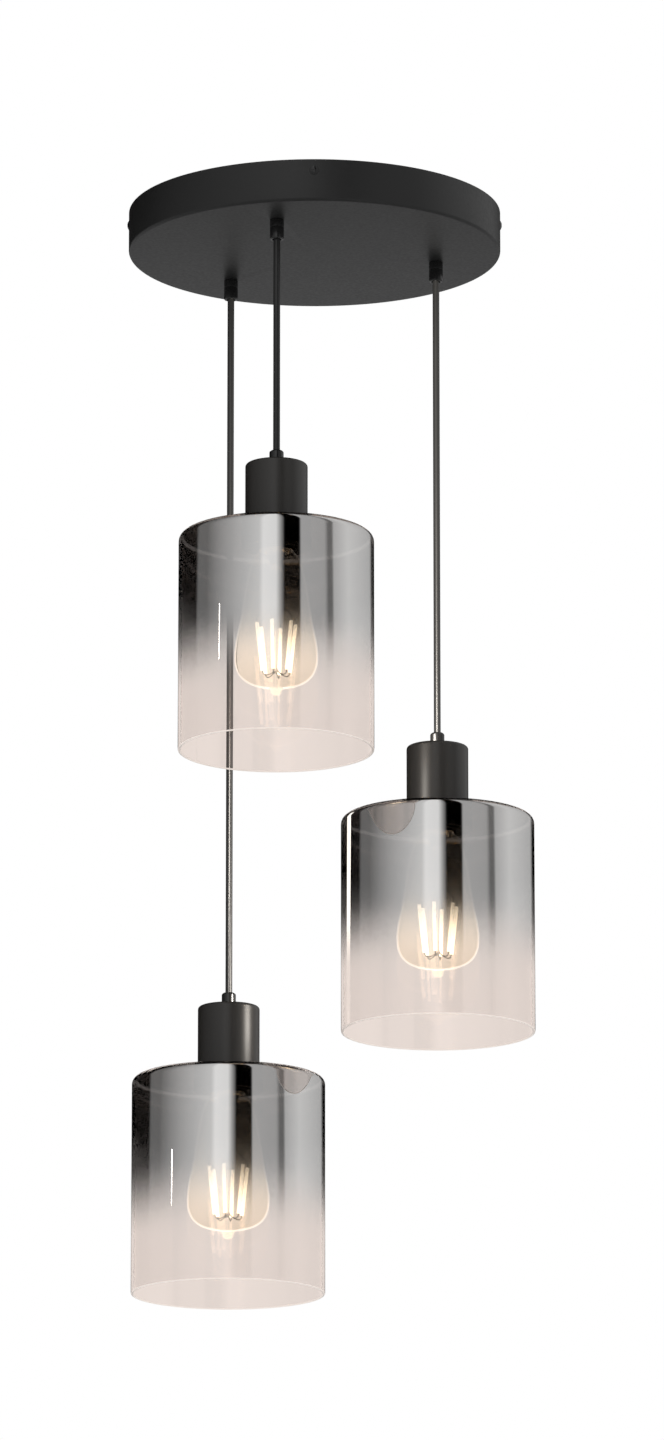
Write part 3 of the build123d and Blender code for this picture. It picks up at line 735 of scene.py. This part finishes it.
class PENDANT_OT_cups(bpy.types.Operator):
    """Draw the cup over each lampholder"""
    bl_idname = "pendant.cups"
    bl_label = "Cups"

    def execute(self, context):
        sizes = context.scene.pendant_sizes
        deck, top = low_high("cup_1")
        outer = radius_of("cup_1")
        inner = outer - sizes.sheet
        under = top - mm(1.5)
        cup = lathe("lampholder_cup_1", lamp_axis(1), [
            (THREAD_HOLE, top, mm(0.15)), (outer, top, sizes.cup_edge), (outer, deck, mm(0.4)),
            (inner, deck, mm(0.3)), (inner, under, sizes.cup_edge - sizes.sheet), (THREAD_HOLE, under, 0)],
            128)
        each_lamp(cup, "lampholder_cup", ["enamel"], "lamp", "cup")
        return {"FINISHED"}


class PENDANT_OT_shades(bpy.types.Operator):
    """Blow each glass shade, and coat its outside"""
    bl_idname = "pendant.shades"
    bl_label = "Glass shades"

    def execute(self, context):
        sizes = context.scene.pendant_sizes
        rim, deck = low_high("glass_shade_1")
        outer = radius_of("glass_shade_1")
        inner = outer - sizes.shade_wall
        under = deck - sizes.shade_wall
        hole = mm(20.5)
        polish = mm(1.15)
        shade = lathe("glass_cylinder_1", lamp_axis(1), [
            (hole, deck, mm(0.5)), (outer, deck, sizes.shade_shoulder), (outer, rim, polish),
            (inner, rim, polish), (inner, under, sizes.shade_shoulder - sizes.shade_wall),
            (hole, under, mm(0.5))], sizes.round_steps)
        made = each_lamp(shade, "glass_cylinder", [], "lamp", "glass_shade")
        for lamp, piece in made.items():
            piece.data.materials.append(finish("clear_glass"))
            piece.data.materials.append(finish("coated_glass", lamp))
            piece.data.materials.append(finish("rim_glass"))
            axis = lamp_axis(lamp)
            rim, deck = low_high(f"glass_shade_{lamp}")
            for face in piece.data.polygons:
                out = hypot(face.center.x - axis.x, face.center.y - axis.y)
                coated = out > outer - sizes.shade_wall / 2 or face.center.z > deck - sizes.shade_wall / 2
                ground = face.center.z < rim + polish * 0.7
                face.material_index = 2 if ground else 1 if coated else 0
        return {"FINISHED"}


# The bulb's envelope, in millimetres of radius and height over the shade's rim, from its neck down
ENVELOPE = [(12.2, 160.5), (12.2, 157.5), (14.0, 155.4), (16.6, 152.4), (19.6, 145.0), (22.6, 132.6),
            (25.2, 117.0), (28.4, 97.6), (31.2, 83.5), (32.0, 74.0), (30.8, 64.5), (26.4, 57.2),
            (18.6, 52.6), (9.8, 50.6), (5.4, 48.8), (3.6, 44.6), (0.0, 42.6)]


class PENDANT_OT_bulb_glass(bpy.types.Operator):
    """Blow the thin envelope of each bulb, with its sealed tip"""
    bl_idname = "pendant.bulb_glass"
    bl_label = "Bulb envelopes"

    def execute(self, context):
        axis = lamp_axis(1)
        rim = low_high("glass_shade_1")[0]
        places = [axis + Vector((mm(r), 0, rim + mm(h))) for r, h in ENVELOPE]
        bulb = smooth_line("bulb_envelope_1", places)
        deselect_all()
        bulb.select_set(True)
        context.view_layer.objects.active = bulb
        bpy.ops.object.convert(target="MESH")
        bulb = context.object
        edit(bulb)
        spin_round(bulb, axis, 96)
        wall = bulb.modifiers.new("Wall", "SOLIDIFY")
        wall.thickness = mm(0.8)
        wall.offset = -1
        made = each_lamp(bulb, "bulb_envelope", [], "bulb", "bulb_glass", "glass_shade")
        for lamp, piece in made.items():
            piece.data.materials.append(finish("bulb_envelope", lamp))
        return {"FINISHED"}


# The bulb's stem from its flare down, in millimetres of radius, height over the shade's rim and corner radius
STEM = [(0, 160.0, 0), (11.0, 160.0, 0.4), (9.8, 156.4, 1.5), (4.4, 148.0, 3), (3.8, 118.0, 2),
        (2.2, 108.0, 2), (1.1, 104.5, 1), (1.1, 64.5, 0.6), (1.9, 62.6, 0.6), (0, 60.4, 0)]
# The filament strips lean out as they rise: millimetres out from the axis and over the rim
STRIP_TOP, STRIP_END = (15.5, 100.0), (11.0, 62.0)
STRIP_COUNT = 6
STRIP_RADIUS = mm(1.4)


class PENDANT_OT_bulb_insides(bpy.types.Operator):
    """Press the stem, lay the filament strips and bend the wires that hold them"""
    bl_idname = "pendant.bulb_insides"
    bl_label = "Bulb stems, filaments and wires"

    def execute(self, context):
        axis = lamp_axis(1)
        rim = low_high("glass_shade_1")[0]

        def at(radius, height, turn=0.0):
            """A place in the bulb, in millimetres out from its axis and over the shade's rim."""
            return axis + Vector((mm(radius) * cos(turn), mm(radius) * sin(turn), rim + mm(height)))

        stem = lathe("bulb_glass_stem_1", axis, [(mm(r), rim + mm(h), mm(corner)) for r, h, corner in STEM],
                     48, closed=False)
        each_lamp(stem, "bulb_glass_stem", ["stem_glass"], "bulb", "bulb_stem", "glass_shade")

        turns = [radians(18 + 360 / STRIP_COUNT * k) for k in range(STRIP_COUNT)]
        strips = []
        wires = []
        for turn in turns:
            high, low = at(*STRIP_TOP, turn), at(*STRIP_END, turn)
            along = high - low
            deselect_all()
            bpy.ops.mesh.primitive_cylinder_add(vertices=20, radius=STRIP_RADIUS, depth=along.length,
                                                location=(high + low) / 2,
                                                rotation=along.to_track_quat("Z", "Y").to_euler())
            strip = context.object
            edit(strip)
            bpy.ops.mesh.select_all(action="SELECT")
            bpy.ops.mesh.bevel(offset=mm(0.5), segments=3, affect="EDGES")
            leave_edit()
            strips.append(strip)
            out = Vector((cos(turn), sin(turn), 0))
            wires.append(bent_wire([at(1.2, 110.0, turn), at(5.5, 112.0, turn), at(12.5, 107.5, turn),
                                    at(15.8, 103.0, turn), high - along * 0.02]))
            wires.append(bent_wire([at(1.3, 62.6, turn), at(5.0, 59.8, turn), at(9.6, 59.2, turn),
                                    low + out * mm(-0.1), low + along * 0.03]))
        strip = join(strips, "filament_strips_1")
        apply_all(strip)
        each_lamp(strip, "filament_strips", ["phosphor"], "bulb", "bulb_filaments", "glass_shade")
        wire = join(wires, "filament_wires_1")
        each_lamp(wire, "filament_wires", ["drawn_wire"], "bulb", "bulb_wires", "glass_shade")
        return {"FINISHED"}


def bent_wire(places):
    """A round wire bent smoothly through a few places."""
    wire = smooth_line("wire", places)
    wire.data.bevel_depth = mm(0.35)
    wire.data.bevel_resolution = 2
    wire.data.use_fill_caps = True
    wire.data.resolution_u = 5
    deselect_all()
    wire.select_set(True)
    bpy.context.view_layer.objects.active = wire
    bpy.ops.object.convert(target="MESH")
    wire = bpy.context.object
    edit(wire)
    bpy.ops.mesh.select_all(action="SELECT")
    bpy.ops.mesh.remove_doubles(threshold=TOUCH)
    bpy.ops.mesh.normals_make_consistent(inside=False)
    leave_edit()
    return wire


class PENDANT_OT_bulb_caps(bpy.types.Operator):
    """Roll the screw cap of each bulb"""
    bl_idname = "pendant.bulb_caps"
    bl_label = "Bulb caps"

    def execute(self, context):
        skirt, tip = low_high("bulb_cap_1")
        axis = lamp_axis(1)
        pitch = mm(3.63)
        rounds, steps = 5, 8  # ridges of the thread, and points along each
        crest = radius_of("bulb_cap_1")
        root = crest - mm(0.75)
        thread_end = skirt + mm(3.7) + rounds * pitch
        outline = [(mm(11.6), skirt, 0), (crest, skirt, mm(0.15)), (crest, skirt + mm(2.6), mm(0.2))]
        for step in range(rounds * steps + 1):
            wave = (1 - cos(2 * pi * step / steps)) / 2
            outline.append((root + (crest - root) * wave, skirt + mm(3.4) + step * pitch / steps, 0))
        outline += [(mm(10.5), thread_end + mm(1.6), mm(0.4)), (mm(7.6), thread_end + mm(2.1), mm(0.2)),
                    (mm(5.2), thread_end + mm(3.9), 0), (mm(4.6), thread_end + mm(4.0), mm(0.2)),
                    (mm(3.2), tip - mm(0.25), mm(0.5)), (0, tip, 0)]
        inside = [(0, thread_end + mm(1.0), 0), (mm(9.5), thread_end, 0), (mm(11.2), thread_end - mm(2.0), 0),
                  (mm(11.2), skirt + mm(3.6), 0), (mm(11.6), skirt + mm(3.4), 0)]
        cap = lathe("bulb_screw_cap_1", axis, inside + outline, 72, closed=False)
        each_lamp(cap, "bulb_screw_cap", ["nickel_cap"], "bulb", "bulb_cap")
        return {"FINISHED"}


# What each carried-over node is made of
NODE_FINISHES = {"ceiling_bracket": "zinc_plate", "canopy_screws": "lacquer", "ground_screw": "rolled_brass",
                 "terminal_block": "block_plastic", "terminal_screws": "zinc_plate",
                 "grip_locknuts": "zinc_plate"}
LAMP_NODE_FINISHES = {"lead": "sheath", "flex_bush": "nylon", "holder_body": "phenolic",
                      "screw_shell": "rolled_brass", "centre_contact": "rolled_brass",
                      "shade_collar": "phenolic"}


class PENDANT_OT_fittings(bpy.types.Operator):
    """Give every carried-over fitting its real finish"""
    bl_idname = "pendant.fittings"
    bl_label = "Bracket, lampholders and wiring"

    def execute(self, context):
        wanted = dict(NODE_FINISHES)
        for lamp in LAMPS:
            wanted.update({f"{node}_{lamp}": name for node, name in LAMP_NODE_FINISHES.items()})
        for node, name in wanted.items():
            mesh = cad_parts[node].data
            mesh.materials.clear()
            mesh.materials.append(finish(name))
        return {"FINISHED"}


# ---- Studio ----
# Plain cards round the light that the shades mirror, as (azimuth from the front in degrees, brightness): dark
# behind, a soft card on the left, a bright strip in front, a black flag, and two soft cards on the right
STUDIO_CARDS = [(-180, 0.0), (-110, 0.0), (-105, 0.15), (-90, 0.15), (-60, 0.4), (-20, 0.7), (-15, 0.95),
                (0, 0.9), (5, 0.4), (10, 0.0), (28, 0.0), (30, 0.45), (60, 0.4), (65, 0.15), (70, 0.15),
                (73, 0.5), (95, 0.7), (145, 0.5), (155, 0.0), (180, 0.0)]
UNDER_LEVEL = (0.38, 0.38, 0.382, 1)  # what is mirrored from under level
WALL_PAST_ONE_GLASS = (0.92, 0.87, 0.84, 1)  # the white wall, seen past one wall of glass
WALL_ALONG_GLASS = (0.85, 0.8, 0.77, 1)  # the same, mirrored along the sides of the glass
LOWEST_MIRROR = radians(4)  # how far over and under level the cards fade out
GRAZE_START, GRAZE_FULL = radians(40), radians(15)  # away from straight behind


def studio_world(scene):
    """White for the eye and for diffuse light, and a round of cards and flags for reflections."""
    world = bpy.data.worlds.new("studio")
    scene.world = world
    world.use_nodes = True
    world.cycles.sampling_method = "NONE"
    output = world.node_tree.nodes["World Output"]
    light = world.node_tree.nodes["Background"]
    way = add(world, "ShaderNodeTexCoord")
    parts = add(world, "ShaderNodeSeparateXYZ", links={0: way.outputs["Generated"]})
    back = add(world, "ShaderNodeMath", {1: -1.0}, {0: parts.outputs[1]}, operation="MULTIPLY")
    azimuth = add(world, "ShaderNodeMath", links={0: parts.outputs[0], 1: back.outputs[0]},
                  operation="ARCTAN2")
    share = add(world, "ShaderNodeMapRange", {"From Min": -pi, "From Max": pi},
                {"Value": azimuth.outputs[0]})
    cards = add(world, "ShaderNodeValToRGB", links={0: share.outputs[0]})
    ramp = cards.color_ramp
    for index, (angle, level) in enumerate(STUDIO_CARDS):
        stop = (angle + 180) / 360
        # a new ramp has two stops of its own
        element = ramp.elements[index] if index < 2 else ramp.elements.new(stop)
        element.position = stop
        element.color = (level, level, level, 1)
    low = add(world, "ShaderNodeMapRange", {"From Min": -sin(LOWEST_MIRROR), "From Max": sin(LOWEST_MIRROR)},
              {"Value": parts.outputs[2]})
    below = add(world, "ShaderNodeMix", {6: UNDER_LEVEL}, {0: low.outputs[0], 7: cards.outputs[0]},
                data_type="RGBA")
    path = add(world, "ShaderNodeLightPath")
    # what the sides of a glass mirror straight on behind it, once the light is inside, is the white wall
    through = add(world, "ShaderNodeMath", {1: 1.0}, {0: path.outputs["Transmission Depth"]},
                  operation="MINIMUM")
    behind = add(world, "ShaderNodeMapRange", {"From Min": cos(GRAZE_START), "From Max": cos(GRAZE_FULL)},
                 {"Value": parts.outputs[1]})
    grazed = add(world, "ShaderNodeMath", links={0: through.outputs[0], 1: behind.outputs[0]},
                 operation="MULTIPLY")
    past = add(world, "ShaderNodeMix", {7: WALL_ALONG_GLASS}, {0: grazed.outputs[0], 6: below.outputs[2]},
               data_type="RGBA")
    mirrored = add(world, "ShaderNodeMath", {1: 1.0}, {0: path.outputs["Glossy Depth"]},
                   operation="MINIMUM")
    # one wall of glass before the white wall looks as warm as two
    one_wall = add(world, "ShaderNodeMath", {1: 2.0, 2: 1.5}, {0: path.outputs["Transmission Depth"]},
                   operation="COMPARE")
    backdrop = add(world, "ShaderNodeMix", {6: (1, 1, 1, 1), 7: WALL_PAST_ONE_GLASS},
                   {0: one_wall.outputs[0]}, data_type="RGBA")
    seen = add(world, "ShaderNodeMix", links={0: mirrored.outputs[0], 6: backdrop.outputs[2],
                                              7: past.outputs[2]}, data_type="RGBA")
    world.node_tree.links.new(seen.outputs[2], light.inputs["Color"])
    world.node_tree.links.new(light.outputs[0], output.inputs[0])


def floor_finish(scene):
    """Pale painted floor, seen from above only, so that a view from below isn't shut out."""
    material, shader = blank("pale_floor_paint", scene.pendant_colours.background, 0.8)
    shader.inputs["Specular IOR Level"].default_value = 0.2
    side = add(material, "ShaderNodeNewGeometry")
    clear = add(material, "ShaderNodeBsdfTransparent")
    mixed = add(material, "ShaderNodeMixShader", links={0: side.outputs["Backfacing"],
                                                        1: shader.outputs[0], 2: clear.outputs[0]})
    material.node_tree.links.new(mixed.outputs[0], material.node_tree.nodes["Material Output"].inputs[0])
    return material


CAMERA_PLACE = (0.0137, -6.0, -1.831)
CAMERA_TILT = 13.335  # degrees up from level
CAMERA_LENS = 198.9  # millimetres on a 36 mm sensor
FLOOR_HEIGHT = -2.4
GLASS_BOUNCES = 24  # enough to look through two whole lamps


class PENDANT_OT_studio(bpy.types.Operator):
    """Set up the floor, the lights, the surroundings and the camera"""
    bl_idname = "pendant.studio"
    bl_label = "Studio"

    def execute(self, context):
        scene = context.scene
        studio_world(scene)
        deselect_all()
        bpy.ops.mesh.primitive_circle_add(vertices=128, radius=3.5, location=(0, 0, FLOOR_HEIGHT),
                                          fill_type="NGON")
        floor = context.object
        floor.name = "studio_floor"
        floor.data.materials.append(floor_finish(scene))
        bpy.ops.object.camera_add(location=CAMERA_PLACE, rotation=(radians(90 + CAMERA_TILT), 0, 0))
        camera = context.object
        camera.data.lens = CAMERA_LENS
        camera.data.sensor_width = 36
        camera.data.clip_end = 100
        scene.camera = camera
        scene.view_settings.view_transform = "Standard"
        scene.cycles.max_bounces = scene.cycles.transmission_bounces = GLASS_BOUNCES
        return {"FINISHED"}


# Small cards that one lamp's pieces mirror: lamp, azimuth in degrees, lowest and highest edge and width in
# metres, brightness, and the pieces that mirror it
KICKERS = [(2, -14, -0.6, -0.3, 0.08, 360, ("hanging_cord_2",)),
           (2, -46, -0.6, -0.2, 0.14, 250, ("cup_gland_2",)),
           (2, -48, -0.66, -0.2, 0.2, 9, ("lampholder_cup_2",)),
           (3, 66, -0.8, -0.48, 0.08, 180, ("hanging_cord_3",)),
           (3, 62, -0.8, -0.4, 0.1, 160, ("cup_gland_3",)),
           (3, 74, -0.56, -0.4, 0.16, 34, ("lampholder_cup_3",)),
           (3, 4, -0.415, -0.32, 0.08, 300, ("hanging_cord_3",)),
           (2, -128, -0.62, -0.2, 0.11, 1.7, ("glass_cylinder_2",)),
           (1, -66, -0.286, -0.206, 0.006, 11, ("glass_cylinder_1",)),
           (3, -66, -0.713, -0.633, 0.006, 11, ("glass_cylinder_3",))]
KICKER_DISTANCE = 0.6


class PENDANT_OT_kickers(bpy.types.Operator):
    """Set small cards beside the lower lamps, each seen by its own pieces only"""
    bl_idname = "pendant.kickers"
    bl_label = "Small cards"

    def execute(self, context):
        for index, (lamp, azimuth, low, high, width, bright, pieces) in enumerate(KICKERS):
            turn = radians(azimuth)
            place = lamp_axis(lamp) + KICKER_DISTANCE * Vector((sin(turn), -cos(turn), 0))
            place.z = (low + high) / 2
            bpy.ops.object.light_add(type="AREA", location=place, rotation=(radians(90), 0, turn))
            card = context.object
            card.name = f"studio_card_{index}"
            card.data.shape = "RECTANGLE"
            card.data.size, card.data.size_y = width, high - low
            card.data.energy = bright * pi * width * (high - low)
            card.data.color = srgb("#FFF8EE")
            card.visible_camera = card.visible_transmission = False
            seen_by = bpy.data.collections.new(f"seen_by_{card.name}")
            for piece in pieces:
                seen_by.objects.link(bpy.data.objects[piece])
            card.light_linking.receiver_collection = seen_by
            card.light_linking.blocker_collection = seen_by
        return {"FINISHED"}


STEPS = (PENDANT_OT_studio, PENDANT_OT_canopy, PENDANT_OT_cord_grips, PENDANT_OT_cords, PENDANT_OT_glands,
         PENDANT_OT_cups, PENDANT_OT_shades, PENDANT_OT_bulb_glass, PENDANT_OT_bulb_insides,
         PENDANT_OT_bulb_caps, PENDANT_OT_fittings, PENDANT_OT_kickers)


class PENDANT_PT_pieces(bpy.types.Panel):
    """Lists the pendant's sizes, colours and making steps"""
    bl_idname = "PENDANT_PT_pieces"
    bl_label = "Cluster Pendant"
    bl_space_type = "VIEW_3D"
    bl_region_type = "UI"
    bl_category = "Pendant"

    def draw(self, context):
        for group in (context.scene.pendant_sizes, context.scene.pendant_colours):
            box = self.layout.box()
            for name in group.__annotations__:
                box.prop(group, name)
        for step in STEPS:
            self.layout.operator(step.bl_idname)


CLASSES = (PendantSizes, PendantColours, *STEPS, PENDANT_PT_pieces)


def register():
    for cls in CLASSES:
        bpy.utils.register_class(cls)
    bpy.types.Scene.pendant_sizes = PointerProperty(type=PendantSizes)
    bpy.types.Scene.pendant_colours = PointerProperty(type=PendantColours)


def unregister():
    del bpy.types.Scene.pendant_colours
    del bpy.types.Scene.pendant_sizes
    for cls in reversed(CLASSES):
        bpy.utils.unregister_class(cls)


def main():
    register()
    for step in STEPS:
        group, name = step.bl_idname.split(".")
        getattr(getattr(bpy.ops, group), name)()


if __name__ == "__main__":
    main()
